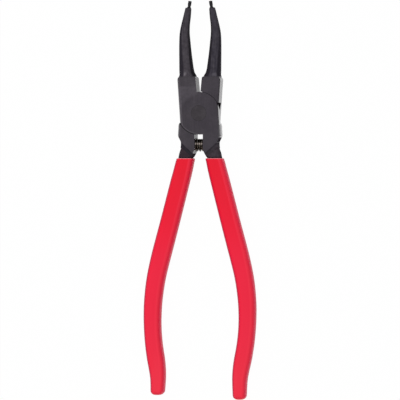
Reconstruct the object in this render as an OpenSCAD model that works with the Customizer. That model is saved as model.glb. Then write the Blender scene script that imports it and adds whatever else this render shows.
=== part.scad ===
// Internal circlip pliers: two forged arms riveted in a lap joint, sprung open, with dipped grips.
// The tool lies on its back. The tips point along +Y and the front face looks up along +Z.
// The origin is on the pivot axis, in the plane of the back face of the joint.

/* [Head] */
// Thickness of the joint, both laps together
head_t = 14; // [12:0.5:18]
// Radius of the round lap
lap_r = 16.6; // [15.5:0.1:18]
// Width over the shoulders at the top of the head
head_w = 34.4; // [32:0.2:38]
// Width over the outer edges of the head at its narrowest place
waist_w = 29.6; // [27:0.2:31]
// Distance from the pivot down to the narrowest place of the head
waist_y = 7; // [5:0.5:9]
// Height of the head above the pivot
head_h = 28.6; // [26:0.2:34]
// Gap between the two halves of the head at its top
throat_gap = 5.2; // [5:0.1:8]
// Angle through which the arms close
close_angle = 8.5; // [6:0.1:8.8]
// Width of the bevel along the outer edges of the head
edge_run = 0.9; // [0.5:0.1:3]
// Depth of the bevel along the outer edges of the head
edge_drop = 1.1; // [0.5:0.1:2]

/* [Jaws] */
// Distance from the pivot to the shoulder at the jaw end
jaw_reach = 82.2; // [70:0.2:86]
// Distance between the middles of the two jaw ends
nose_span = 18.8; // [18.2:0.1:26]
// Distance between the middles of the two jaw roots
root_span = 20.2; // [19:0.2:22]
// How far the jaw bows outwards between its root and its end
jaw_bow = 2.7; // [0:0.1:3.6]
// Width of the jaw at its root
root_w = 13.8; // [12:0.2:14]
// Thickness of the jaw at its root
root_t = 12.8; // [9:0.2:13.2]
// Width of the jaw at its end
nose_w = 4.5; // [4.2:0.1:6]
// Thickness of the jaw at its end
nose_t = 5; // [4:0.1:7]

/* [Tips] */
// Diameter of the working end of the tip
tip_d = 2.7; // [1.8:0.1:3.2]
// Length of the working end
tip_len = 3.1; // [2:0.1:4]
// Diameter of the neck behind the working end
tip_neck_d = 2.2; // [1.4:0.1:2.6]
// Length of the neck with its two cones
tip_neck_len = 2.5; // [1.5:0.1:3.5]
// Diameter of the cone where it meets the jaw
tip_root_d = 3.6; // [2.8:0.1:3.8]
// Diameter of the shank that is pressed into the jaw
tip_shank_d = 2.2; // [1.6:0.1:2.6]
// How far the tip stands inside the middle line of the jaw
tip_inset = 0.4; // [0:0.1:0.5]
// Length of the shank in the jaw
tip_shank_len = 11; // [6:0.5:16]

/* [Shanks] */
// Gap between the two shanks below the joint
shank_gap = 6.6; // [5.5:0.1:9.4]
// Width over the ears below the joint
ear_w = 33.2; // [31:0.2:36]
// Distance from the pivot down to the widest place of the ears
ear_y = 17.4; // [15:0.2:18]
// Width over the necks between the ears and the handles
neck_w = 27.4; // [25:0.1:29]
// Distance from the pivot down to the narrowest place of the necks
neck_y = 23; // [21:0.2:25]
// Distance from the pivot down to the slanting end of the head, at its outer edge
facet_y = 27; // [26:0.2:30]
// Width of the slope by which the head thins down to the handle
facet_run = 3; // [2:0.1:4]

/* [Handles] */
// Distance from the pivot to the end of the longer handle
handle_len = 223; // [180:1:260]
// How much shorter the other handle is
handle_short = 3.1; // [0:0.1:6]
// Distance between the middles of the handles at their widest place
handle_span = 75.4; // [60:0.2:90]
// Distance between the middles of the handles at the upper edge of the grips
handle_top_span = 22.8; // [20:0.1:26]
// How far the end of the longer handle is set inwards, and that of the other outwards
end_set = 1.4; // [0:0.1:3]
// Width of the steel of the handle at its widest
tang_w = 12.4; // [9:0.1:14]
// Thickness of the steel of the handle
tang_t = 9.8; // [7:0.1:11]

/* [Grips] */
// Thickness of the dipped coat
coat = 1.4; // [1:0.1:2]
// Distance from the pivot down to the upper edge of the grips
grip_y = 34.6; // [34:0.2:50]
// Radius of the rounded end of the grip
grip_end_r = 3.5; // [1.5:0.1:4]

/* [Rivet] */
// Diameter of the rivet shank
rivet_d = 9; // [6:0.5:10]
// Diameter of the rivet's flush heads
rivet_head_d = 12; // [11:0.5:16]
// Depth of the countersink under each head
rivet_sink = 1.8; // [1:0.1:3]

/* [Return spring] */
// Outer diameter of the spring
spring_d = 10; // [8:0.1:11]
// Diameter of the spring wire
wire_d = 1.4; // [0.9:0.1:1.6]
// Number of coils
coils = 7; // [4:0.5:8]
// How far the coils close up above and fan out below, as a share of the room between them
spring_fan = 0.85; // [0:0.05:0.9]
// How far the middle of the spring sags
spring_sag = 0.4; // [0:0.1:0.9]
// Depth of the round seat in each shank
seat_depth = 4; // [3:0.1:5]
// Distance from the pivot down to the spring axis
spring_y = 24.5; // [23.5:0.1:26]

/* [Clearances] */
// Gap between the sliding faces of the laps
lap_gap = 0.06; // [0.02:0.02:0.2]
// Gap between the round lap and the shoulder around it
shoulder_gap = 0.3; // [0.2:0.1:0.8]
// What is left on each side between the closed blocks
stop_gap = 0.2; // [0.1:0.05:0.4]
// Radial play of the arm that turns on the rivet
rivet_play = 0.05; // [0.02:0.01:0.1]
// Radial play of the arm that holds the rivet
rivet_fit = 0.02; // [0.01:0.01:0.05]
// Radial play of the tip shank in its bore
tip_fit = 0.02; // [0.01:0.01:0.05]
// Gap between the coat and the steel
coat_fit = 0.1; // [0.06:0.02:0.2]
// Radial play of the spring in its seats
seat_play = 0.3; // [0.1:0.05:0.4]

/* [Hidden] */

steel_colour = [0.27, 0.26, 0.28];
tip_colour = [0.12, 0.12, 0.13];
rivet_colour = [0.33, 0.32, 0.34];
wire_colour = [0.1, 0.09, 0.09];
grip_colour = [0.91, 0.15, 0.24];

// Overrun of every cut
cut = 1;

mid_z = head_t / 2;
lap_t = (head_t - lap_gap) / 2;
shoulder_r = lap_r + shoulder_gap;
half_angle = close_angle / 2;

// Corner radii of the head
throat_corner_r = 1.3;
ear_corner_r = 1.8;
neck_r = 5;
mouth_r = 4;

// How far the loft of the jaw and the steel of the handle reach into the head
jaw_sink = 4;
tang_sink = 9;
// Bevel around the end of the jaw
nose_break = 0.35;
// Bevel around the end of the tip
tip_break = 0.25;
// Rounding of the coat's upper edge
lip_r = 0.5;
// Rounding of the end of the steel inside the coat
tang_end_r = 1;
// Height of the bevel on top of the head, where the thinner jaw leaves it, and radius of its corner
crown_run = 2.6;
// Height of the ear's side above its widest place
ear_side = 8.2;
// How much the side of the ear and of the lap above it leans in, as a share of its height
side_lean_share = 0.06;

// Shapes along the jaw, from its root to its end: place, share of the range from end to root
jaw_width_shares = [
    [0, 1], [0.04, 0.76], [0.09, 0.69], [0.2, 0.6], [0.38, 0.485],
    [0.53, 0.4], [0.63, 0.32], [0.75, 0.2], [0.87, 0.115], [1, 0]
];
jaw_bow_shares = [
    [0, 0], [0.04, 0.12], [0.09, 0.29], [0.2, 0.49], [0.38, 0.78],
    [0.53, 0.95], [0.63, 1], [0.75, 0.78], [0.87, 0.38], [1, 0]
];
jaw_thick_shares = [[0, 1], [0.5, 0.55], [1, 0]];
// Down the bare shank: place as a share of the way from the neck to the grip,
// middle line as a share of its step sideways, width as a share of the width at the grip
shank_line_shares = [[0, 0], [0.22, 0.08], [0.4, 0.22], [0.62, 0.58], [0.82, 0.85], [1, 1]];
shank_width_shares = [[0, 1], [0.4, 1.07], [0.62, 1.085], [0.82, 1.04], [1, 1]];
// Down the grip: place as a share of its length, middle line as a share of its step sideways
handle_line_shares = [
    [0, 0], [0.051, 0.084], [0.092, 0.16], [0.258, 0.466], [0.424, 0.778], [0.506, 0.907],
    [0.589, 0.981], [0.651, 1], [0.713, 0.989], [0.775, 0.947], [0.838, 0.875],
    [0.879, 0.829], [0.92, 0.802], [1, 0.81]
];
// Place as a share of the grip's length, width of the steel as a share of its widest
handle_width_shares = [
    [0, 0.88], [0.051, 0.935], [0.092, 0.963], [0.258, 0.984], [0.39, 1], [0.506, 0.933],
    [0.589, 0.88], [0.713, 0.825], [0.8, 0.845], [0.838, 0.853], [0.879, 0.785],
    [0.92, 0.69], [0.952, 0.64], [1, 0.58]
];
// Where the handle's end starts to be set, as a share of the grip's length
end_set_share = 0.4;
// Corner radius of the sections, as a share of their smaller half size
jaw_round_share = 0.72;
handle_round_share = 0.62;

jaw_rings = 24;
handle_rings = 34;
end_rings = 4;
edge_rings = 2;
wire_sides = 8;
coil_rings = 14;

// Value of a table of [place, value] pairs at place s, on a smooth curve through them
function table_index(table, s, i = 0) =
    i >= len(table) - 2 || s < table[i + 1][0] ? i : table_index(table, s, i + 1);
function table_slope(table, i) =
    let (a = max(i - 1, 0))
    let (b = min(i + 1, len(table) - 1))
    (table[b][1] - table[a][1]) / (table[b][0] - table[a][0]);
function table_value(table, s) =
    let (i = table_index(table, s))
    let (a = table[i])
    let (b = table[i + 1])
    let (h = b[0] - a[0])
    let (t = (s - a[0]) / h)
    let (rise = b[1] - a[1])
    let (m = table_slope(table, i) * h)
    let (n = table_slope(table, i + 1) * h)
    a[1] + t * m + t * t * (3 * rise - 2 * m - n) + t * t * t * (m + n - 2 * rise);

// Outline through [x, y, radius] corners, each rounded by its radius
function unit(v) = v / norm(v);
function round_corner(p, q, r, steps = 6) =
    let (a = unit([p[0] - q[0], p[1] - q[1]]))
    let (b = unit([r[0] - q[0], r[1] - q[1]]))
    let (half = acos(a * b) / 2)
    let (reach = q[2] / tan(half))
    let (centre = [q[0], q[1]] + unit(a + b) * q[2] / sin(half))
    let (from = [q[0], q[1]] + a * reach - centre)
    let (to = [q[0], q[1]] + b * reach - centre)
    let (start = atan2(from[1], from[0]))
    let (turn = atan2(from[0] * to[1] - from[1] * to[0], from * to))
    q[2] == 0 ? [[q[0], q[1]]]
    : [for (k = [0:steps]) centre + q[2] * [cos(start + turn * k / steps), sin(start + turn * k / steps)]];
function rounded(corners) =
    let (n = len(corners))
    [for (i = [0:n - 1]) each round_corner(corners[(i + n - 1) % n], corners[i], corners[(i + 1) % n])];

// Rounded rectangle in X and Z around the origin: half width a, half thickness b, corner radius r
function section(a, b, r, steps) = [
    for (q = [0:3])
        for (k = [0:steps])
            [
                (q == 0 || q == 3 ? a - r : r - a) + r * cos(90 * (q + k / steps)),
                (q < 2 ? b - r : r - b) + r * sin(90 * (q + k / steps))
            ]
];

// Skin over rings that all have the same number of points
module skin(rings) {
    n = len(rings[0]);
    m = len(rings);
    sides = [
        for (j = [0:m - 2])
            for (i = [0:n - 1])
                each [
                    [j * n + i, j * n + (i + 1) % n, (j + 1) * n + i],
                    [j * n + (i + 1) % n, (j + 1) * n + (i + 1) % n, (j + 1) * n + i]
                ]
    ];
    polyhedron(
        points = [for (ring = rings) each ring],
        faces = concat(
            [[for (i = [0:n - 1]) n - 1 - i]],
            [[for (i = [0:n - 1]) (m - 1) * n + i]],
            sides
        )
    );
}

// Straight bevel along the upper edge of a plate, from point p to point q, with the plate on the left
bevel_shares = [[-1.5, 0.5], [0.5, -1.5], [0.5, 0.5]];
module bevel(p, q, run, drop) {
    span = q - p;
    translate([q[0], q[1], 0])
        rotate([0, 0, atan2(span[1], span[0]) - 90])
            translate([0, cut, 0])
                rotate([90, 0, 0])
                    linear_extrude(height = norm(span) + 2 * cut)
                        polygon([for (share = bevel_shares) [share[0] * run, share[1] * drop]]);
}

// The same bevel along the front and the back edge of the head
module both_bevels(p, q, run, drop) {
    translate([0, 0, head_t])
        bevel(p, q, run, drop);
    mirror([0, 0, 1])
        bevel(p, q, run, drop);
}

// The other arm's place: turned over about the long axis
module turned_over() {
    translate([0, 0, head_t])
        rotate([0, 180, 0])
            children();
}

// Middle line and size of the left jaw at share s of its length
function jaw_y(s) = head_h + s * (jaw_reach - head_h);
function jaw_x(s) =
    -(root_span + s * (nose_span - root_span)) / 2 - jaw_bow * table_value(jaw_bow_shares, s);
function jaw_w(s) = nose_w + (root_w - nose_w) * table_value(jaw_width_shares, s);
function jaw_t(s) = nose_t + (root_t - nose_t) * table_value(jaw_thick_shares, s);
lean_step_share = 0.02;
function jaw_lean(s) =
    let (a = max(s - lean_step_share, 0))
    let (b = min(s + lean_step_share, 1))
    atan2(jaw_x(b) - jaw_x(a), jaw_y(b) - jaw_y(a));
nose_lean = jaw_lean(1);

function jaw_ring(s, back, shrink) =
    let (a = jaw_w(s) / 2 - shrink)
    let (b = jaw_t(s) / 2 - shrink)
    let (lean = jaw_lean(s))
    [
        for (p = section(a, b, jaw_round_share * min(a, b), 4))
            [
                jaw_x(s) + p[0] * cos(lean) - back * sin(lean),
                jaw_y(s) - p[0] * sin(lean) - back * cos(lean),
                mid_z + p[1]
            ]
    ];

module jaw() {
    skin(concat(
        [jaw_ring(0, jaw_sink, 0)],
        [for (k = [0:jaw_rings - 1]) jaw_ring(k / jaw_rings, 0, 0)],
        [jaw_ring(1, nose_break, 0)],
        [jaw_ring(1, 0, nose_break)]
    ));
}

// Place of the tip: its middle line goes on from the middle line of the jaw
module at_nose() {
    translate([jaw_x(1), jaw_reach, mid_z])
        rotate([0, 0, -nose_lean])
            translate([tip_inset, 0, 0])
                rotate([-90, 0, 0])
                    children();
}

// Middle line and width of the steel of the right handle at distance d below the pivot
neck_x = (neck_w + shank_gap) / 4;
function shank_share(d) = (d - neck_y) / (grip_y - neck_y);
function grip_share(d) = (d - grip_y) / (handle_len - grip_y);
function set_share(d) = pow(max(grip_share(d) - end_set_share, 0) / (1 - end_set_share), 2);
function shank_x(d) =
    neck_x + (handle_top_span / 2 - neck_x) * table_value(shank_line_shares, shank_share(d));
function grip_x(d) =
    (handle_top_span + (handle_span - handle_top_span) * table_value(handle_line_shares, grip_share(d))) / 2;
function handle_x(d, set) = d < grip_y ? shank_x(d) : grip_x(d) + set * set_share(d);
function handle_w(d) = tang_w * (
    d < grip_y ? handle_width_shares[0][1] * table_value(shank_width_shares, shank_share(d))
    : table_value(handle_width_shares, grip_share(d))
);
function handle_ring(d, set, grow, steps) =
    let (a = handle_w(d) / 2 + grow)
    let (b = tang_t / 2 + grow)
    [
        for (p = section(a, b, handle_round_share * min(a, b), steps))
            [handle_x(d, set) - p[0], -d, mid_z + p[1]]
    ];

// The handle from distance top to distance end below the pivot, grown all round.
// Its upper edge is rounded by top_r and its end by end_r.
module handle(top, end, set, grow, top_r, end_r, rings, steps) {
    first = top + top_r;
    last = end - end_r;
    skin(concat(
        top_r == 0 ? [] : [
            for (k = [0:edge_rings - 1])
                let (turn = 90 * k / edge_rings)
                handle_ring(first - top_r * cos(turn), set, grow - top_r * (1 - sin(turn)), steps)
        ],
        [for (k = [0:rings]) handle_ring(first + (last - first) * k / rings, set, grow, steps)],
        [
            for (k = [1:end_rings])
                let (turn = 90 * k / end_rings)
                handle_ring(last + end_r * sin(turn), set, grow - end_r * (1 - cos(turn)), steps)
        ]
    ));
}

// The outlines of the front arm, seen from the front: its jaw is on the left, its handle on the right
// At the lap the two halves of the head nearly meet when the arms are closed
throat_low = [-stop_gap - lap_r * tan(half_angle), lap_r];
throat_top = [-throat_gap / 2, head_h];
// The flank runs in one straight line from the top of the head down across the lap
function flank_x(y) = -(waist_w + (head_w - waist_w) * (y + waist_y) / (head_h + waist_y)) / 2;
flank_top = [flank_x(head_h), head_h];
flank_low = [flank_x(-lap_r), -lap_r];
upper_block = rounded([
    [flank_top[0], flank_top[1], crown_run],
    [throat_top[0], throat_top[1], throat_corner_r],
    [throat_low[0], throat_low[1], 0],
    [0, 0, 0],
    [flank_x(0), 0, 0]
]);

// The lower end of the head crosses the shank slantwise, from the outer edge down to the grip
function inner_x(d) = handle_x(d, 0) - handle_w(d) / 2;
function outer_x(d) = handle_x(d, 0) + handle_w(d) / 2;
facet_low = [inner_x(grip_y - lip_r), -(grip_y - lip_r)];
facet_top = [outer_x(facet_y), -facet_y];
// The side runs in one straight line from the ear up across the lap
function side_x(y) = ear_w / 2 - side_lean_share * (y + ear_y);
ear_low = [ear_w / 2, -ear_y];
ear_high = [side_x(ear_side - ear_y), ear_side - ear_y];
side_top = [side_x(lap_r), lap_r];
lower_block = rounded([
    [0, 0, 0],
    [shank_gap / 2, -lap_r / 2, 0],
    [shank_gap / 2, -(spring_y + mouth_r), mouth_r],
    [facet_low[0], facet_low[1], 0],
    [facet_top[0], facet_top[1], 0],
    [neck_w / 2, -neck_y, neck_r],
    [ear_low[0], ear_low[1], ear_corner_r],
    [ear_high[0], ear_high[1], ear_corner_r],
    [waist_w / 2, -waist_y, 0]
]);

// The round lap, cut straight on the left below the upper block and on the right above the ear.
// The cut leaves out what the two blocks cover anyway.
lap_limit = [
    [flank_x(0), 0],
    [flank_x(-neck_y), -neck_y],
    [shank_gap / 2, -neck_y],
    [side_x(0), 0],
    [side_x(head_h), head_h],
    throat_top
];
module lap_outline() {
    intersection() {
        circle(r = lap_r, $fn = 96);
        polygon(lap_limit);
    }
    polygon(upper_block);
    polygon(lower_block);
    polygon([[0, 0], ear_high, [side_x(0), 0]]);
}

module shoulder_outline() {
    difference() {
        union() {
            polygon(upper_block);
            polygon(lower_block);
        }
        circle(r = shoulder_r, $fn = 96);
    }
}

// The head of the front arm: the lap in the front half, the two shoulders over the whole thickness
module head() {
    difference() {
        union() {
            translate([0, 0, head_t - lap_t])
                linear_extrude(height = lap_t)
                    lap_outline();
            linear_extrude(height = head_t)
                shoulder_outline();
        }
        both_bevels(flank_top, flank_low, edge_run, edge_drop);
        both_bevels(ear_low, side_top, edge_run, edge_drop);
        both_bevels([0, head_h], flank_top, crown_run, (head_t - root_t) / 2);
        both_bevels(facet_low, facet_top, facet_run, (head_t - tang_t) / 2);
    }
}

// Round seat of the spring in the inner face of the right shank
module spring_seat() {
    translate([shank_gap / 2 - cut, -spring_y, mid_z])
        rotate([0, 90, 0])
            cylinder(r = spring_d / 2 + seat_play, h = seat_depth + cut, $fn = 64);
}

// Bore for the rivet, countersunk in the outer face of the lap
module rivet_bore(play) {
    translate([0, 0, -cut])
        cylinder(r = rivet_d / 2 + play, h = head_t + 2 * cut, $fn = 64);
    translate([0, 0, head_t - rivet_sink - play])
        cylinder(r1 = rivet_d / 2 + play, r2 = rivet_head_d / 2 + play, h = rivet_sink, $fn = 64);
    translate([0, 0, head_t - play])
        cylinder(r = rivet_head_d / 2 + play, h = play + cut, $fn = 64);
}

module arm(end, set, play) {
    difference() {
        union() {
            head();
            jaw();
            handle(grip_y - tang_sink, end - coat, set, 0, 0, tang_end_r, handle_rings, 3);
        }
        spring_seat();
        rivet_bore(play);
        at_nose()
            translate([0, 0, -tip_shank_len - tip_fit])
                cylinder(d = tip_shank_d + 2 * tip_fit, h = tip_shank_len + cut, $fn = 48);
    }
}

// One pressed-in tip, from the end of its shank to its working end
module tip() {
    cone_len = tip_neck_len / 2;
    end = tip_neck_len + tip_len;
    rotate_extrude($fn = 48)
        polygon([
            [0, -tip_shank_len],
            [tip_shank_d / 2, -tip_shank_len],
            [tip_shank_d / 2, 0],
            [tip_root_d / 2, 0],
            [tip_neck_d / 2, cone_len],
            [tip_d / 2, tip_neck_len],
            [tip_d / 2, end - tip_break],
            [tip_d / 2 - tip_break, end],
            [0, end]
        ]);
}

module grip(end, set) {
    difference() {
        handle(grip_y, end, set, coat, lip_r, grip_end_r, handle_rings, 6);
        handle(grip_y - cut, end - coat + coat_fit, set, coat_fit, 0, tang_end_r, handle_rings, 3);
    }
}

module front_arm() {
    color(steel_colour)
        arm(handle_len, -end_set, rivet_play);
}

module rear_arm() {
    color(steel_colour)
        turned_over()
            arm(handle_len - handle_short, end_set, rivet_fit);
}

// Both ends of the rivet are flush with the faces of the joint
module pivot_rivet() {
    color(rivet_colour)
        rotate_extrude($fn = 96)
            polygon([
                [0, 0],
                [rivet_head_d / 2, 0],
                [rivet_d / 2, rivet_sink],
                [rivet_d / 2, head_t - rivet_sink],
                [rivet_head_d / 2, head_t],
                [0, head_t]
            ]);
}

// The spring runs across the gap, from the floor of one seat to the floor of the other.
// Between the seats it bends: its middle sags, the coils close up above and fan out below.
module return_spring() {
    spring_len = shank_gap + 2 * seat_depth - wire_d;
    pitch_r = (spring_d - wire_d) / 2;
    fan = spring_fan * (spring_len - coils * wire_d) / (2 * PI);
    count = coils * coil_rings;
    color(wire_colour)
        translate([0, -spring_y, mid_z])
            skin([
                for (k = [0:count])
                    let (turn = 360 * k / coil_rings)
                    let (place = k / count - 1 / 2)
                    let (bend = sin(360 * place) * cos(turn))
                    let (sag = spring_sag * pow(cos(180 * place), 4))
                    [
                        for (i = [0:wire_sides - 1])
                            let (around = 360 * i / wire_sides)
                            let (r = pitch_r + wire_d / 2 * cos(around))
                            [
                                spring_len * place - fan * bend + wire_d / 2 * sin(around),
                                r * cos(turn) - sag,
                                r * sin(turn)
                            ]
                    ]
            ]);
}

module front_tip() {
    color(tip_colour)
        at_nose()
            tip();
}

module rear_tip() {
    color(tip_colour)
        turned_over()
            at_nose()
                tip();
}

module front_grip() {
    color(grip_colour)
        grip(handle_len, -end_set);
}

module rear_grip() {
    color(grip_colour)
        turned_over()
            grip(handle_len - handle_short, end_set);
}

front_arm();
rear_arm();
pivot_rivet();
return_spring();
front_tip();
rear_tip();
front_grip();
rear_grip();
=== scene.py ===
"""Internal circlip pliers: dark forged arms in a lap joint, a black spring and dipped red grips."""
import math

import bmesh
import bpy
from mathutils import Matrix, Vector


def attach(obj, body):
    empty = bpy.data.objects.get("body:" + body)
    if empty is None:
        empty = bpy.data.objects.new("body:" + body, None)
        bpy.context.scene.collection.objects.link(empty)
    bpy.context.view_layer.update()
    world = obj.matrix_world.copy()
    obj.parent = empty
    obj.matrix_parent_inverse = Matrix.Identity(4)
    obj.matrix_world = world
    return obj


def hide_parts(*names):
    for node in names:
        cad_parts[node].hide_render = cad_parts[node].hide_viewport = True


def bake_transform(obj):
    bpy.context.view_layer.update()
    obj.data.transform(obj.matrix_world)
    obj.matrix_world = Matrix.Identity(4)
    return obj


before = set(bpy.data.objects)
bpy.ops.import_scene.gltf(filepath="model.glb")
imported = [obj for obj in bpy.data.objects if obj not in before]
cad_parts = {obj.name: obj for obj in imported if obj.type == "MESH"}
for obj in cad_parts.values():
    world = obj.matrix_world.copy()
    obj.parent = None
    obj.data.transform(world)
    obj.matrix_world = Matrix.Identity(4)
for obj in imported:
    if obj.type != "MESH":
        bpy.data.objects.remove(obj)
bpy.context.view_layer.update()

# Lengths are in millimetres, and MM takes them to Blender's metres. The pivot is at the origin,
# +Y runs towards the tips, +Z out of the front face, and the tool lies with its back on z = 0.
MM = 0.001
HEAD_T = 14
MID_Z = HEAD_T / 2
TURNED_OVER = Matrix.Translation((0, 0, HEAD_T * MM)) @ Matrix.Rotation(math.pi, 4, "Y")


# ---------------------------------------------------------------- modelling by hand

def clear_selection():
    """Leaves edit mode and deselects everything."""
    if bpy.context.object and bpy.context.object.mode != "OBJECT":
        bpy.ops.object.mode_set(mode="OBJECT")
    bpy.ops.object.select_all(action="DESELECT")


def choose(piece):
    """Makes a piece the only selected one."""
    clear_selection()
    piece.select_set(True)
    bpy.context.view_layer.objects.active = piece


def start(piece, name=None):
    """Opens a piece for modelling. A new primitive gets its name, and its place in its mesh."""
    choose(piece)
    if name:
        piece.name = name
        piece.data.name = name
        bpy.ops.object.transform_apply(location=True, rotation=True, scale=True)
    bpy.ops.object.mode_set(mode="EDIT")
    bpy.ops.mesh.select_mode(type="FACE")


def pick(kind, test):
    """Selects the faces, edges or corners of the open piece that pass a test, and nothing else."""
    bpy.ops.mesh.select_mode(type=kind)
    bpy.ops.mesh.select_all(action="DESELECT")
    mesh = bmesh.from_edit_mesh(bpy.context.object.data)
    for item in {"FACE": mesh.faces, "EDGE": mesh.edges, "VERT": mesh.verts}[kind]:
        if test(item):
            item.select_set(True)
    mesh.select_flush_mode()
    bmesh.update_edit_mesh(bpy.context.object.data)


def middle(item):
    """Middle of a face or an edge, in millimetres."""
    return sum((v.co for v in item.verts), Vector()) / len(item.verts) / MM


def pull(dx, dy, dz):
    """Extrudes what is selected by a step in millimetres."""
    bpy.ops.mesh.extrude_region_move(
        TRANSFORM_OT_translate={"value": (dx * MM, dy * MM, dz * MM)}
    )


def scale_about(x, y, z, sx, sy, sz):
    """Scales what is selected about a point."""
    bpy.ops.transform.resize(value=(sx, sy, sz), center_override=(x * MM, y * MM, z * MM))


def close_piece(piece, smooth, outward=True):
    """Leaves edit mode, with the faces outwards and smooth shading up to an angle in degrees."""
    if outward:
        bpy.ops.mesh.select_all(action="SELECT")
        bpy.ops.mesh.normals_make_consistent(inside=False)
    bpy.ops.object.mode_set(mode="OBJECT")
    bpy.ops.object.shade_smooth_by_angle(angle=math.radians(smooth))
    return piece


def place(piece, matrix):
    """Moves a finished piece and applies the move, so that its object stays at the origin."""
    choose(piece)
    piece.matrix_world = matrix
    bpy.ops.object.transform_apply(location=True, rotation=True, scale=True)


def note_edges(piece, line_at):
    """Notes on each vertex how far it lies from the left and right edge there, in millimetres."""
    left = piece.data.attributes.new("from_left", "FLOAT", "POINT").data
    right = piece.data.attributes.new("from_right", "FLOAT", "POINT").data
    for i, vertex in enumerate(piece.data.vertices):
        x, y = vertex.co.xy / MM
        middle_x, half = line_at(y)
        offset = x - math.copysign(middle_x, x)
        left[i].value = offset + half
        right[i].value = half - offset


def on_table(table, s):
    """Value of a table at place s, on a smooth curve through its points."""
    i = 0
    while i < len(table) - 2 and s >= table[i + 1][0]:
        i += 1

    def slope(k):
        a, b = max(k - 1, 0), min(k + 1, len(table) - 1)
        return (table[b][1] - table[a][1]) / (table[b][0] - table[a][0])

    (s0, v0), (s1, v1) = table[i], table[i + 1]
    h = s1 - s0
    t = (s - s0) / h
    rise, m, n = v1 - v0, slope(i) * h, slope(i + 1) * h
    return v0 + t * m + t * t * (3 * rise - 2 * m - n) + t ** 3 * (m + n - 2 * rise)


# ---------------------------------------------------------------- the two forged arms

HEAD_H = 28.6
JAW_REACH = 82.2
JAW_ROOT_X = 10.1
JAW_LEAN = 0.7
JAW_BOW = 2.7
JAW_END_HALF_W = 2.25
JAW_TAPER = 4.65
# along the jaw, from the head at 0 to its end at 1
JAW_WIDTH_SHARES = [
    (0, 1), (0.04, 0.76), (0.09, 0.69), (0.2, 0.6), (0.38, 0.485),
    (0.53, 0.4), (0.63, 0.32), (0.75, 0.2), (0.87, 0.115), (1, 0),
]
JAW_BOW_SHARES = [
    (0, 0), (0.04, 0.12), (0.09, 0.29), (0.2, 0.49), (0.38, 0.78),
    (0.53, 0.95), (0.63, 1), (0.75, 0.78), (0.87, 0.38), (1, 0),
]
# points closer than this become one, and faces that turn by fewer degrees than this one face
MERGE = 0.001
FLAT_ANGLE = 0.3
WEIGHT_BY_AREA = 90


def jaw_line(y):
    """Distance of the jaw's middle line from the tool's, and half its width."""
    s = min(max((y - HEAD_H) / (JAW_REACH - HEAD_H), 0), 1)
    middle_x = JAW_ROOT_X - JAW_LEAN * s + JAW_BOW * on_table(JAW_BOW_SHARES, s)
    return middle_x, JAW_END_HALF_W + JAW_TAPER * on_table(JAW_WIDTH_SHARES, s)


def forged_arm(node, name):
    """The CAD arm's own shape as one clean closed mesh, with flat faces that shade flat."""
    arm = bpy.data.objects.new(name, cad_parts[node].data.copy())
    bpy.context.scene.collection.objects.link(arm)
    start(arm)
    bpy.ops.mesh.select_all(action="SELECT")
    bpy.ops.mesh.remove_doubles(threshold=MERGE * MM)
    bpy.ops.mesh.dissolve_limited(angle_limit=math.radians(FLAT_ANGLE))
    close_piece(arm, smooth=30, outward=False)
    choose(arm)
    weighted = arm.modifiers.new("weighted", "WEIGHTED_NORMAL")
    weighted.weight = WEIGHT_BY_AREA
    weighted.keep_sharp = True
    bpy.ops.object.modifier_apply(modifier=weighted.name)
    note_edges(arm, jaw_line)
    return arm


# ---------------------------------------------------------------- the dipped grips

COAT = 1.4
# the handle's line is laid out from GRIP_Y below the pivot, and the coat begins at GRIP_TOP
GRIP_Y = 34.6
GRIP_TOP = 35.1
HANDLE_LEN = 223
HANDLE_SHORT = 3.1
HANDLE_SPAN = 75.4
HANDLE_TOP_SPAN = 22.8
END_SET = 1.4
END_SET_SHARE = 0.4
TANG_W = 12.4
TANG_T = 9.8
# along the handle, from its upper end at 0 to its lower end at 1
LINE_SHARES = [
    (0, 0), (0.051, 0.084), (0.092, 0.16), (0.258, 0.466), (0.424, 0.778), (0.506, 0.907),
    (0.589, 0.981), (0.651, 1), (0.713, 0.989), (0.775, 0.947), (0.838, 0.875),
    (0.879, 0.829), (0.92, 0.802), (1, 0.81),
]
WIDTH_SHARES = [
    (0, 0.88), (0.051, 0.935), (0.092, 0.963), (0.258, 0.984), (0.39, 1), (0.506, 0.933),
    (0.589, 0.88), (0.713, 0.825), (0.8, 0.845), (0.838, 0.853), (0.879, 0.785),
    (0.92, 0.69), (0.952, 0.64), (1, 0.58),
]
GRIP_STEPS = 56
# height of the slice that the coat is pulled from, and its rounded corners
GRIP_SLICE = 0.5
GRIP_CORNER_SHARE = 0.62
GRIP_CORNER_STEPS = 6
GRIP_END_R = 3.5
GRIP_END_STEPS = 6
GRIP_END_INSET = 0.8
# the raw upper edge: its wall, the hollow inside it, and its rounding
LIP_WALL = COAT - 0.1
LIP_DEPTH = 1.2
LIP_R = 0.55
LIP_REACH = 0.9


def handle_middle(d, end_set):
    """Distance of the handle's middle line from the tool's, at d below the pivot."""
    s = (d - GRIP_Y) / (HANDLE_LEN - GRIP_Y)
    line = HANDLE_TOP_SPAN + (HANDLE_SPAN - HANDLE_TOP_SPAN) * on_table(LINE_SHARES, s)
    return line / 2 + end_set * (max(s - END_SET_SHARE, 0) / (1 - END_SET_SHARE)) ** 2


def handle_half_width(d):
    """Half the width of the coated handle, at d below the pivot."""
    return TANG_W * on_table(WIDTH_SHARES, (d - GRIP_Y) / (HANDLE_LEN - GRIP_Y)) / 2 + COAT


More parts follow.
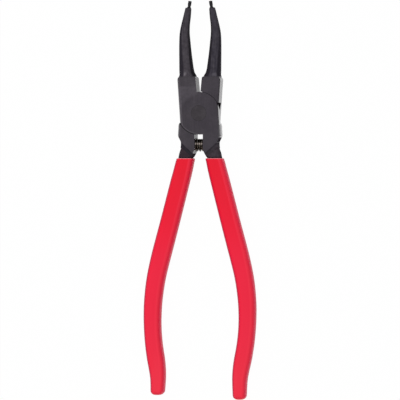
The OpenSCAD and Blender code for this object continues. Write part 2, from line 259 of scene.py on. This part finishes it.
def grip_stations(end):
    """Distances below the pivot, each with how far the coat is drawn in there, to its round end."""
    last = end - GRIP_END_R
    rows = [(GRIP_TOP + (last - GRIP_TOP) * k / GRIP_STEPS, 0) for k in range(1, GRIP_STEPS + 1)]
    for k in range(1, GRIP_END_STEPS + 1):
        turn = math.radians(90 * k / GRIP_END_STEPS)
        rows.append((last + GRIP_END_R * math.sin(turn), GRIP_END_R * (1 - math.cos(turn))))
    return rows


def lip_edge(edge, half_t):
    """Tells the outer rim of the coat's upper edge."""
    at = middle(edge)
    if abs(at.y + GRIP_TOP) > 0.01:
        return False
    on_side = any(abs(face.normal.y) < 0.3 for face in edge.link_faces)
    in_slice = all(middle(face).y > -GRIP_TOP - 0.4 for face in edge.link_faces)
    across = abs(at.x - handle_middle(GRIP_TOP, 0)) > handle_half_width(GRIP_TOP) - LIP_REACH
    return on_side and in_slice and (across or abs(at.z - MID_Z) > half_t - LIP_REACH)


def dipped_grip(name, end, end_set):
    """A slice of the coat at its upper edge, pulled down along the handle and closed at the end."""
    half_t = TANG_T / 2 + COAT
    x, half_w = handle_middle(GRIP_TOP, end_set), handle_half_width(GRIP_TOP)
    bpy.ops.mesh.primitive_cube_add(
        size=1, location=(x * MM, -(GRIP_TOP + GRIP_SLICE / 2) * MM, MID_Z * MM),
        scale=(2 * half_w * MM, GRIP_SLICE * MM, 2 * half_t * MM),
    )
    grip = bpy.context.object
    start(grip, name)
    pick("EDGE", lambda e: abs((e.verts[0].co - e.verts[1].co).normalized().y) > 0.9)
    bpy.ops.mesh.bevel(
        offset=GRIP_CORNER_SHARE * min(half_w, half_t) * MM, segments=GRIP_CORNER_STEPS,
        profile=0.5, affect="EDGES",
    )
    pick("FACE", lambda f: f.normal.y < -0.9)
    at, inset = GRIP_TOP + GRIP_SLICE, 0
    for d, drawn in grip_stations(end):
        next_x, next_w = handle_middle(d, end_set), handle_half_width(d)
        pull(next_x - x, at - d, 0)
        scale_about(
            next_x, -d, MID_Z,
            (next_w - drawn) / (half_w - inset), 1, (half_t - drawn) / (half_t - inset),
        )
        x, half_w, at, inset = next_x, next_w, d, drawn
    # the flat middle of the end
    bpy.ops.mesh.inset(thickness=GRIP_END_INSET * MM)
    # the raw upper edge of the coat, with the hollow that the steel fills
    pick("FACE", lambda f: f.normal.y > 0.9)
    bpy.ops.mesh.inset(thickness=LIP_WALL * MM)
    pull(0, -LIP_DEPTH, 0)
    pick("EDGE", lambda e: lip_edge(e, half_t))
    bpy.ops.mesh.bevel(offset=LIP_R * MM, segments=3, profile=0.5, affect="EDGES")
    close_piece(grip, smooth=50)
    if end < HANDLE_LEN:
        place(grip, TURNED_OVER)
    note_edges(grip, lambda y: (handle_middle(-y, end_set), handle_half_width(-y)))
    return grip


# ---------------------------------------------------------------- the small steel pieces

RIVET_R = 4.5
RIVET_HEAD_R = 6
RIVET_SINK = 1.8
RIVET_SIDES = 96
RIVET_EDGE = 0.12
# insets of each face, from the rim inwards, each with the step up or down that follows it
RIVET_RINGS = [(0.35, 0), (0.15, -0.05), (0.4, 0.045), (2, 0)]
# in metres, less than any distance on the piece
HAIR = 1e-6


def rivet_rim(edge):
    """Tells the round rim of the rivet's front or back face."""
    a, b = (v.co for v in edge.verts)
    return (
        abs(a.z - b.z) < HAIR and min(abs(a.z), abs(a.z - HEAD_T * MM)) < HAIR
        and all(abs(co.xy.length - RIVET_HEAD_R * MM) < 10 * HAIR for co in (a, b))
    )


def rivet():
    """A flush rivet: a drum, waisted to its shank, with a turned ring in both faces."""
    bpy.ops.mesh.primitive_cylinder_add(
        vertices=RIVET_SIDES, radius=RIVET_HEAD_R * MM, depth=HEAD_T * MM,
        location=(0, 0, MID_Z * MM),
    )
    piece = bpy.context.object
    start(piece, "rivet")
    for z in (RIVET_SINK, HEAD_T - RIVET_SINK):
        bpy.ops.mesh.select_all(action="SELECT")
        bpy.ops.mesh.bisect(plane_co=(0, 0, z * MM), plane_no=(0, 0, 1))
    pick("VERT", lambda v: HAIR < v.co.z < HEAD_T * MM - HAIR)
    scale_about(0, 0, MID_Z, RIVET_R / RIVET_HEAD_R, RIVET_R / RIVET_HEAD_R, 1)
    for up in (1, -1):
        pick("FACE", lambda f: f.normal.z * up > 0.9)
        for thickness, step in RIVET_RINGS:
            bpy.ops.mesh.inset(thickness=thickness * MM)
            if step:
                bpy.ops.transform.translate(value=(0, 0, step * up * MM))
    pick("EDGE", rivet_rim)
    bpy.ops.mesh.bevel(offset=RIVET_EDGE * MM, segments=2, profile=0.5, affect="EDGES")
    return close_piece(piece, smooth=30)


WIRE_R = 0.7
WIRE_SIDES = 14
SPRING_D = 10
SPRING_R = SPRING_D / 2 - WIRE_R
SPRING_Y = 24.5
SHANK_GAP = 6.6
SEAT_DEPTH = 4
SPRING_LEN = SHANK_GAP + 2 * SEAT_DEPTH - 2 * WIRE_R
COILS = 7
COIL_STEPS = 30
SPRING_FAN = 0.85
FAN_REACH = SPRING_FAN * (SPRING_LEN - 2 * COILS * WIRE_R) / (2 * math.pi)
SPRING_SAG = 0.4


def wire_at(step):
    """How far the wire has got along the spring, and how far the spring sags there."""
    share = step / (COILS * COIL_STEPS) - 0.5
    turn = 2 * math.pi * step / COIL_STEPS
    # the turns stand close above and at the sides, and fan open below
    closed = 1 - 2 * ((1 - math.cos(turn)) / 2) ** 3
    fan = FAN_REACH * math.sin(2 * math.pi * share) * closed
    return SPRING_LEN * share - fan, SPRING_SAG * math.cos(math.pi * share) ** 4


def spring():
    """The end of a wire, pulled round the spring's axis step by step."""
    x, sag = wire_at(0)
    bpy.ops.mesh.primitive_circle_add(
        vertices=WIRE_SIDES, radius=WIRE_R * MM, fill_type="NGON",
        location=(x * MM, (SPRING_R - SPRING_Y - sag) * MM, MID_Z * MM),
    )
    piece = bpy.context.object
    start(piece, "spring")
    pick("FACE", lambda f: True)
    for step in range(1, COILS * COIL_STEPS + 1):
        next_x, next_sag = wire_at(step)
        pull(next_x - x, sag - next_sag, 0)
        bpy.ops.transform.rotate(
            value=2 * math.pi / COIL_STEPS, orient_axis="X",
            center_override=(0, -(SPRING_Y + next_sag) * MM, MID_Z * MM),
        )
        x, sag = next_x, next_sag
    return close_piece(piece, smooth=60)


# height and radius, from the foot in the jaw's bore up
TIP_PROFILE = [
    (-11, 1.1), (0, 1.1), (0, 1.8), (1.25, 1.1), (2.5, 1.35), (5.35, 1.35), (5.6, 1.1),
]
# where it leaves the jaw, and how many degrees it leans inwards
TIP_BASE = (-9.005, 82.137)
TIP_LEAN = 9.035
TIP_SIDES = 40
TIP_STUB = 1
TIP_STEP = 0.01
TIP_END_RING = 0.3


def tip(name, turned):
    """A turned pin, drawn up ring by ring, then leant in to the jaw's line."""
    z0, r0 = TIP_PROFILE[0]
    bpy.ops.mesh.primitive_cylinder_add(
        vertices=TIP_SIDES, radius=r0 * MM, depth=TIP_STUB * MM,
        location=(0, 0, (z0 + TIP_STUB / 2) * MM),
    )
    piece = bpy.context.object
    start(piece, name)
    pick("FACE", lambda f: f.normal.z > 0.9)
    z, r = z0 + TIP_STUB, r0
    for next_z, next_r in TIP_PROFILE[1:]:
        if next_z > z:
            pull(0, 0, next_z - z)
        else:
            # a step outwards at one height
            bpy.ops.mesh.inset(thickness=TIP_STEP * MM)
            pull(0, 0, 0)
            r -= TIP_STEP
        scale_about(0, 0, next_z, next_r / r, next_r / r, 1)
        z, r = next_z, next_r
    for ring in range(2):
        bpy.ops.mesh.inset(thickness=TIP_END_RING * MM)
    close_piece(piece, smooth=28)
    lean = Matrix.Translation((TIP_BASE[0] * MM, TIP_BASE[1] * MM, MID_Z * MM))
    lean = lean @ Matrix.Rotation(math.radians(-TIP_LEAN), 4, "Z")
    lean = lean @ Matrix.Rotation(-math.pi / 2, 4, "X")
    place(piece, TURNED_OVER @ lean if turned else lean)
    return piece


# ---------------------------------------------------------------- finishes

class Varying:
    """A value that varies over a surface. Python's operators on it add Math nodes."""

    def __init__(self, finish, socket):
        self.finish = finish
        self.socket = socket

    def __add__(self, other):
        return self.finish.maths("ADD", self, other)

    __radd__ = __add__

    def __sub__(self, other):
        return self.finish.maths("SUBTRACT", self, other)

    def __rsub__(self, other):
        return self.finish.maths("SUBTRACT", other, self)

    def __mul__(self, other):
        return self.finish.maths("MULTIPLY", self, other)

    __rmul__ = __mul__


class Finish:
    """The nodes of a material or of the world, built one by one."""

    def __init__(self, owner):
        self.owner = owner
        owner.use_nodes = True
        self.tree = owner.node_tree
        self.tree.nodes.clear()

    def node(self, kind, settings=None, sockets=None, output=0):
        """Adds a node with its settings and the values or links of its sockets."""
        made = self.tree.nodes.new(kind)
        for key, value in (settings or {}).items():
            setattr(made, key, value)
        for key, value in (sockets or {}).items():
            if isinstance(value, Varying):
                self.tree.links.new(value.socket, made.inputs[key])
            else:
                made.inputs[key].default_value = value
        return Varying(self, made.outputs[output]) if made.outputs else None

    def maths(self, operation, a, b=0.0):
        return self.node("ShaderNodeMath", {"operation": operation}, {0: a, 1: b})

    def position(self):
        return self.node("ShaderNodeTexCoord", output="Object")

    def coordinate(self, axis):
        return self.node("ShaderNodeSeparateXYZ", {}, {0: self.position()}, output=axis)

    def noted(self, name):
        """What note_edges wrote on the piece."""
        return self.node("ShaderNodeAttribute", {"attribute_name": name}, output="Fac")

    def away(self, x, y, spot=(0, 0, 0)):
        """Distance from a spot, seen from the front."""
        flat = self.node("ShaderNodeCombineXYZ", {}, {"X": x, "Y": y})
        return self.node(
            "ShaderNodeVectorMath", {"operation": "DISTANCE"}, {0: flat, 1: spot}, output="Value"
        )

    def stretched(self, x, y, z):
        """The position times so much along each axis, for noise that runs along the tool."""
        return self.node("ShaderNodeMapping", {}, {"Vector": self.position(), "Scale": (x, y, z)})

    def noise(self, vector, scale, detail, roughness=0.5):
        """Cloudy noise, with so many blotches a metre."""
        return self.node(
            "ShaderNodeTexNoise", {},
            {"Vector": vector, "Scale": scale, "Detail": detail, "Roughness": roughness},
        )

    def between(self, value, low, high, to_low=0.0, to_high=1.0):
        """A smooth step from one value to another as the input crosses a span."""
        return self.node("ShaderNodeMapRange", {"interpolation_type": "SMOOTHSTEP"}, {
            "Value": value, "From Min": low, "From Max": high,
            "To Min": to_low, "To Max": to_high,
        })

    def across(self, length, low, high, to_low=0.0, to_high=1.0):
        """The same smooth step over a span given in millimetres."""
        return self.between(length, low * MM, high * MM, to_low, to_high)

    def mixed(self, factor, a, b):
        return self.node("ShaderNodeMix", {"data_type": "RGBA"}, {0: factor, 6: a, 7: b}, output=2)

    def bump(self, height, distance, strength):
        """Relief, with its distance in millimetres."""
        return self.node("ShaderNodeBump", {}, {
            "Height": height, "Distance": distance * MM, "Strength": strength,
        })

    def surface(self, **sockets):
        return self.show(self.node("ShaderNodeBsdfPrincipled", {}, sockets))

    def show(self, shader, output="ShaderNodeOutputMaterial"):
        self.node(output, {}, {"Surface": shader})
        return self.owner


def new_finish(name):
    return Finish(bpy.data.materials.new(name))


def colour(*levels):
    """A colour as it looks on a screen, from 0 to 255, as the shader's linear values."""
    def linear(level):
        if level > 10:
            return ((level / 255 + 0.055) / 1.055) ** 2.4
        return level / 255 / 12.92

    return tuple(linear(level) for level in levels) + (1.0,)


# the slanting end of the head: a point on its line, and how far across and down it faces
CUT_AT = (13.7, -27)
CUT_ACROSS, CUT_DOWN = 0.673, 0.739
# the painted glint at the root of each jaw: its place, how it is squeezed, its strength and colour
JAW_GLINTS = [
    (-11.3, 30.6, 1, 0.6, colour(140, 134, 140)),
    (7.5, 30.0, 0.6, 0.45, colour(112, 108, 116)),
]
# a pale steel colour for painted highlights
HIGHLIGHT_STEEL = colour(108, 101, 110)


class Forging:
    """Places on a forged arm. Each is 1 there and 0 elsewhere, with a soft border."""

    def __init__(self, f):
        self.x, self.y, z = (f.coordinate(axis) for axis in range(3))
        depth = z - MID_Z * MM
        self.out = f.maths("ABSOLUTE", self.x)
        self.up = f.maths("ABSOLUTE", depth)
        self.radius = f.away(self.x, self.y)
        self.right = f.across(self.x, -4, 4)
        self.jaw = f.across(self.y, 28.3, 28.8)
        # the shank begins with a slope under the slanting end of the head
        self.below = ((self.out - CUT_AT[0] * MM) * CUT_ACROSS
                      - (self.y - CUT_AT[1] * MM) * CUT_DOWN)
        self.shank = f.across(self.below, -3.1, -2.8)
        self.slope = self.shank * f.across(self.below, 0.1, -0.2)
        # the head's side walls, the inner ones at the opening, and the bare ones low on the right
        self.wall = f.across(self.up, 6.3, 5.9) * (1 - self.jaw) * (1 - self.shank)
        self.inner = self.wall * f.across(self.out, 7.2, 6.2)
        self.bare = self.wall * self.right * f.across(self.y, 2, -1)
        # the dark side walls of the necks, between the ears and the shanks
        self.neck = f.across(self.up, 6.98, 6.9) * f.across(self.y, -18.6, -19.2)
        self.neck = self.neck * f.across(self.out, 8, 10) * (1 - self.shank)
        # the painted shadow of the shoulder on the sides of the laps below it, less slanted in
        # front
        front_lap = f.between(self.x * depth, 0.0, MM * MM)
        self.shoulder_shadow = f.across(self.up, 6.7, 6.4) * (1 - self.shank) * f.across(self.y, 8.3, 8)
        self.shoulder_shadow = self.shoulder_shadow * f.across(self.y - self.up * (1.7 - 1.0 * front_lap), 1.9, 3.2)


def head_skin(f, at, cloud, lines):
    """Violet-grey, ground along the tool, and darker to the right."""
    skin = f.mixed(f.between(cloud, 0.35, 0.65), colour(44, 36, 47), colour(58, 51, 60))
    skin = f.mixed(f.between(lines, 0.45, 0.8, 0, 0.4), skin, colour(76, 69, 78))
    # how far in from the left outline, above the ear and along it
    left = (1 - at.right) * (1 - at.wall)
    ear = f.across(at.y, -9, -9.5)
    inset = ((14.6 * MM - at.out + 0.0674 * at.y) * (1 - ear)
             + (15 * MM - at.out - 0.06 * at.y) * ear)
    # painted highlights in a line beside the left outline and in a paler belt over the lap, and
    # painted shade along a dark outer rim
    light = f.across(inset, 0.4, 0.7) * f.across(inset, 1.7, 1.2) * f.across(at.y, -19, -17.5)
    belt = f.across(at.radius, 12.8, 15.8) * f.across(at.y, 21.5, 20) * f.across(at.y, -6, 0)
    dark = f.across(inset, 0.6, 0.3) * (f.across(at.y, 19.5, 21) + ear)
    skin = f.mixed(light * left * 0.3, skin, HIGHLIGHT_STEEL)
    skin = f.mixed(belt * left * 0.22, skin, HIGHLIGHT_STEEL)
    skin = f.mixed(dark * left * 0.5, skin, colour(30, 26, 32))
    # the round rim of the lap, lighter with a painted highlight, and painted shade in the dark gap
    # along it
    below_left = (1 - at.right) * f.across(at.y, -3, -6) * (1 - at.wall)
    lap_rim_highlight = f.across(at.radius, 15.2, 15.7) * f.across(at.radius, 16.4, 16.1)
    lap_gap_shade = f.across(at.radius, 16.3, 16.6) * f.across(at.radius, 17.3, 17)
    skin = f.mixed(lap_rim_highlight * below_left * 0.35, skin, colour(104, 97, 106))
    skin = f.mixed(lap_gap_shade * below_left * 0.8, skin, colour(26, 22, 27))
    return f.mixed(at.right * 0.28, skin, colour(36, 26, 42))


def jaw_skin(f, at, lines):
    """Greyer than the head, with painted shade along both edges, the outer ones more broadly."""
    right = at.right
    along = f.node("ShaderNodeMapRange", {}, {
        "Value": at.y, "From Min": HEAD_H * MM, "From Max": JAW_REACH * MM,
    })
    skin = f.mixed(along, colour(77, 72, 78), colour(66, 62, 68))
    skin = f.mixed(right, skin, colour(61, 58, 67))
    skin = f.mixed(f.between(lines, 0.35, 0.75, 0, 0.7), skin, colour(88, 84, 90))
    # painted glints at the jaw roots
    for x, y, squeeze, strength, glint in JAW_GLINTS:
        spot = f.away(at.x * squeeze, at.y, (x * MM, y * MM, 0))
        skin = f.mixed(f.across(spot, 2.2, 0.3, 0, strength), skin, glint)
    # painted shade on the rounded sides, the outer ones a little paler
    from_left, from_right = f.noted("from_left"), f.noted("from_right")
    left_shade_band = from_left - (1 - along) * (4.0 - 0.9 * right) - 0.2 * right
    right_shade_band = from_right - (1 - along) * (1.8 + 0.9 * right) + 0.2 * right
    outer, inner = colour(46, 43, 50), colour(42, 39, 45)
    skin = f.mixed(f.between(left_shade_band, 0.95, 0.05) * 0.9, skin, f.mixed(right, outer, inner))
    skin = f.mixed(f.between(right_shade_band, 0.1, -0.6) * 0.9, skin, f.mixed(right, inner, outer))
    # the darkest painted shade, a rim along the inner edges
    rim = (f.between(from_left, 1.0, 0.3) * right
           + f.between(from_right, 0.5, 0.1) * (1 - right) * (1 - along * along))
    return f.mixed(rim * 0.85, skin, colour(27, 24, 29))


def shank_skin(f, at):
    """Darker and redder than the head, and darkest just above the coat, where shade is painted."""
    lower = f.mixed(at.right, colour(63, 51, 57), colour(70, 63, 69))
    # painted shade just above the coat
    lower = f.mixed(f.across(at.y, -33.5, -34.5), lower, colour(44, 42, 46))
    # the slope, which runs out paler on the right, where light is painted on it
    slope = f.mixed(at.right, colour(52, 49, 55), colour(59, 55, 61))
    slope = f.mixed(at.right * f.across(at.below, -2.2, -1.2), slope, colour(74, 69, 75))
    return f.mixed(at.slope, lower, slope)


def forged_steel():
    """Phosphated dark steel: a violet-grey head with bright walls, greyer jaws and dark shanks."""
    f = new_finish("forged_steel")
    cloud = f.noise(f.position(), 60, 4)
    spots = f.noise(f.position(), 420, 3)
    grain = f.noise(f.position(), 2600, 2)
    lines = f.noise(f.stretched(1500, 40, 1500), 1, 3, 0.6)
    at = Forging(f)
    skin = f.mixed(at.jaw, head_skin(f, at, cloud, lines), jaw_skin(f, at, lines))
    # painted shade in the crease where the jaw leaves the head
    crease_shade = f.across(at.y, 27.2, 27.9) * f.across(at.y, 29.1, 28.4) * f.across(at.up, 6.3, 6.5)
    skin = f.mixed(crease_shade * 0.3, skin, colour(24, 21, 25))
    skin = f.mixed(at.shank, skin, shank_skin(f, at))
    skin = f.mixed(f.between(spots, 0.35, 0.7, 0, 0.35), skin, colour(36, 32, 38))
    skin = f.mixed(at.neck, skin, colour(60, 56, 62))
    # painted shadow under the shoulder, on the sides of the laps
    skin = f.mixed(at.shoulder_shadow * 0.9, skin, colour(14, 12, 14))
    dull = f.maths("MAXIMUM", at.neck, at.shoulder_shadow)
    return f.surface(**{
        "Base Color": skin,
        "Metallic": (0.6 + 0.35 * at.bare - 0.4 * at.jaw - 0.55 * at.shank) * (1 - dull),
        "Roughness": 0.3 + 0.12 * lines + 0.08 * cloud + 0.1 * at.jaw,
        "Specular IOR Level": 0.0,
        "Coat Weight": (1 - at.jaw) * (1 - dull) * (1 - at.shank) * (1 - 0.55 * at.inner),
        "Coat Roughness": 0.1, "Coat IOR": 1.44,
        "Normal": f.bump(grain * 0.5 + lines, 0.03, 0.6),
    })


# in radians a metre, which sets the rings 0.26 mm apart
RING_TURNS = 24000


def turned_steel():
    """The rivet's ground face, with fine turning rings."""
    f = new_finish("turned_steel")
    rings = f.maths("SINE", f.away(f.coordinate("X"), f.coordinate("Y")) * RING_TURNS)
    cloud = f.noise(f.position(), 180, 3)
    return f.surface(**{
        "Base Color": f.mixed(
            f.between(cloud, 0.35, 0.7), colour(44, 38, 44), colour(56, 50, 56)),
        "Metallic": 0.6, "Roughness": 0.32 + 0.1 * cloud, "Specular IOR Level": 0.1,
        "Coat Weight": 0.9, "Coat Roughness": 0.12, "Coat IOR": 1.4,
        "Normal": f.bump(rings + cloud, 0.01, 0.3),
    })


def black_steel():
    """The blackened tips."""
    f = new_finish("black_steel")
    grain = f.noise(f.position(), 1800, 3)
    return f.surface(**{
        "Base Color": f.mixed(
            f.between(grain, 0.3, 0.75), colour(26, 25, 28), colour(46, 44, 48)),
        "Metallic": 0.6, "Roughness": 0.3 + 0.15 * grain,
        "Normal": f.bump(grain, 0.02, 0.4),
    })


def spring_wire():
    """Oiled black wire, warm in patches, with a painted highlight in a line across the turns."""
    f = new_finish("spring_wire")
    cloud = f.noise(f.position(), 700, 3)
    skin = f.mixed(f.between(cloud, 0.4, 0.7), colour(52, 47, 42), colour(120, 108, 94))
    # a painted highlight in a line across the turns, a little above their middle
    y = f.coordinate("Y")
    highlight_line = f.across(y, -24.6, -24.1) * f.across(y, -22.9, -23.3)
    return f.surface(**{
        "Base Color": f.mixed(highlight_line * 0.75, skin, colour(205, 192, 184)),
        "Metallic": 0.9, "Roughness": 0.2 + 0.15 * cloud,
        "Normal": f.bump(f.noise(f.position(), 3000, 2), 0.01, 0.3),
    })


def dipped_vinyl():
    """Soft red dipped vinyl: paler towards the ends, a thin pale line at its raw upper edge, partly
    thin vinyl and partly a painted highlight.
    """
    f = new_finish("dipped_vinyl")
    y = f.coordinate("Y")
    cloud = f.noise(f.stretched(90, 22, 90), 1, 3)
    runs = f.noise(f.stretched(420, 26, 420), 1, 2)
    peel = f.noise(f.position(), 520, 2)
    bow = f.across(y, -80, -130, 0, 0.5) * f.across(y, -215, -170)
    # the pale line at the raw upper edge: thinner vinyl there, with a painted highlight on its
    # rounding
    lip = f.across(y, -35.8, -35.4)
    skin = f.mixed(f.across(y, -40, -120), colour(238, 2, 40), colour(248, 14, 54))
    skin = f.mixed(f.across(y, -140, -215), skin, colour(250, 44, 70))
    skin = f.mixed(f.between(cloud, 0.3, 0.7, 0, 0.3), skin, colour(246, 20, 54))
    skin = f.mixed(f.between(runs, 0.55, 0.8, 0, 0.2), skin, colour(222, 4, 44))
    skin = f.mixed(bow, skin, colour(246, 36, 70))
    # painted shade along the left edges, and painted light and a pink painted reflection round the
    # right ones
    from_left, from_right = f.noted("from_left"), f.noted("from_right")
    skin = f.mixed(f.between(from_left, 2.2, 0.7, 0, 0.85), skin, colour(184, 28, 70))
    skin = f.mixed(f.between(from_right, 4.2, 3.0, 0, 0.7), skin, colour(255, 42, 70))
    skin = f.mixed(f.between(from_right, 1.4, 0.2, 0, 0.6), skin, colour(238, 34, 84))
    return f.surface(**{
        "Base Color": f.mixed(lip * 0.8, skin, colour(252, 150, 160)),
        "Roughness": 0.42 + 0.1 * cloud, "Specular IOR Level": 0.25,
        "Normal": f.bump(peel * 0.6 + runs, 0.12, 0.35),
    })


def paint(piece, material):
    piece.data.materials.clear()
    piece.data.materials.append(material)


# ---------------------------------------------------------------- the object

steel = forged_steel()
vinyl = dipped_vinyl()
blackened = black_steel()
front_end, rear_end = HANDLE_LEN, HANDLE_LEN - HANDLE_SHORT

PIECES = [
    (forged_arm("front_arm", "forged_front_arm"), "front_arm", "front_half", steel, "dark_steel"),
    (forged_arm("rear_arm", "forged_rear_arm"), "rear_arm", "rear_half", steel, "dark_steel"),
    (rivet(), "pivot_rivet", "rear_half", turned_steel(), "rivet_steel"),
    (tip("turned_front_tip", False), "front_tip", "front_half", blackened, "black_steel"),
    (tip("turned_rear_tip", True), "rear_tip", "rear_half", blackened, "black_steel"),
    (dipped_grip("dipped_front_grip", front_end, -END_SET),
     "front_grip", "front_half", vinyl, "red_coat"),
    (dipped_grip("dipped_rear_grip", rear_end, END_SET),
     "rear_grip", "rear_half", vinyl, "red_coat"),
]

for piece, node, body, material, slot in PIECES:
    paint(piece, material)
    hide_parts(node)
    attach(piece, body)

coil = spring()
paint(coil, spring_wire())
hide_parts("return_spring")
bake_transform(coil)


# ---------------------------------------------------------------- floor, light and camera

# Sizes and places are in metres here, but for those that MM takes there.
WHITE = (1, 1, 1, 1)
FLOOR_SIZE = 6
FLOOR_DROP = 0.05
FLOOR_COLOUR = (0.86, 0.86, 0.86, 1)
SEEN_WHITE = 0.985
LOOK_AT = (0, -0.07)


def pale_floor():
    """Pale to the light, so that it takes the tool's shadow, and near white where it is seen."""
    clear_selection()
    # a hair under the tool, so that the two faces aren't in one plane
    bpy.ops.mesh.primitive_plane_add(size=FLOOR_SIZE, location=(*LOOK_AT, -FLOOR_DROP * MM))
    floor = bpy.context.object
    floor.name = "floor"
    f = new_finish("pale_floor")
    lit = f.node("ShaderNodeBsdfDiffuse", {}, {"Color": FLOOR_COLOUR})
    white = f.node("ShaderNodeEmission", {}, {"Color": WHITE, "Strength": 1.0})
    seen = f.node("ShaderNodeLightPath", output="Is Camera Ray")
    for ray in ("Is Glossy Ray", "Is Transmission Ray"):
        seen = f.maths("MAXIMUM", seen, f.node("ShaderNodeLightPath", output=ray))
    choice = f.node("ShaderNodeMixShader", {}, {0: seen * SEEN_WHITE, 1: lit, 2: white})
    paint(floor, f.show(choice))


def soft_world():
    """White where the camera sees it, and otherwise a soft dome, bright above, dim at the sides."""
    f = Finish(bpy.data.worlds.new("studio"))
    direction = f.node("ShaderNodeTexCoord", output="Generated")
    height = f.node("ShaderNodeSeparateXYZ", {}, {0: direction}, output="Z")
    dome = f.between(height, 0.15, 0.8, 0.16, 0.95)
    sky = f.node("ShaderNodeBackground", {}, {"Color": WHITE, "Strength": dome})
    white = f.node("ShaderNodeBackground", {}, {"Color": WHITE, "Strength": 1.0})
    seen = f.node("ShaderNodeLightPath", output="Is Camera Ray")
    choice = f.node("ShaderNodeMixShader", {}, {0: seen, 1: sky, 2: white})
    bpy.context.scene.world = f.show(choice, "ShaderNodeOutputWorld")


KEY_SIZE = 0.7
KEY_POWER = 5.0
KEY_AT = (-0.9, 0.5, 0.9)


def key_light():
    """One soft square lamp, above and to the left, that leaves no spot in the gloss."""
    light = bpy.data.lights.new("key_light", "AREA")
    light.shape = "SQUARE"
    light.size = KEY_SIZE
    light.energy = KEY_POWER
    lamp = bpy.data.objects.new("key_light", light)
    bpy.context.scene.collection.objects.link(lamp)
    lamp.location = KEY_AT
    lamp.rotation_mode = "QUATERNION"
    aim = Vector((*LOOK_AT, 0)) - Vector(KEY_AT)
    lamp.rotation_quaternion = aim.to_track_quat("-Z", "Y")
    lamp.visible_glossy = False


CAMERA_TURN = 11
CAMERA_AWAY = 3.0
CAMERA_REACH = 20
SENSOR = 36
FRAME_WIDTH = 0.312
FRAME_MIDDLE = -67.6
FRAME_SHIFT = 0.23


def long_lens_camera():
    """Eleven degrees to the object's right, level with its middle, from far away."""
    turn = math.radians(CAMERA_TURN)
    right = Vector((math.cos(turn), 0, -math.sin(turn)))
    back = Vector((math.sin(turn), 0, math.cos(turn)))
    aim = Vector((0, FRAME_MIDDLE * MM, MID_Z * MM)) - right * FRAME_SHIFT * MM
    data = bpy.data.cameras.new("camera")
    data.sensor_width = SENSOR
    data.lens = SENSOR * CAMERA_AWAY / FRAME_WIDTH
    data.clip_end = CAMERA_REACH
    camera = bpy.data.objects.new("camera", data)
    bpy.context.scene.collection.objects.link(camera)
    turned = Matrix((right, Vector((0, 1, 0)), back)).transposed().to_4x4()
    camera.matrix_world = Matrix.Translation(aim + back * CAMERA_AWAY) @ turned
    bpy.context.scene.camera = camera


pale_floor()
soft_world()
key_light()
long_lens_camera()
bpy.context.scene.view_settings.view_transform = "Standard"
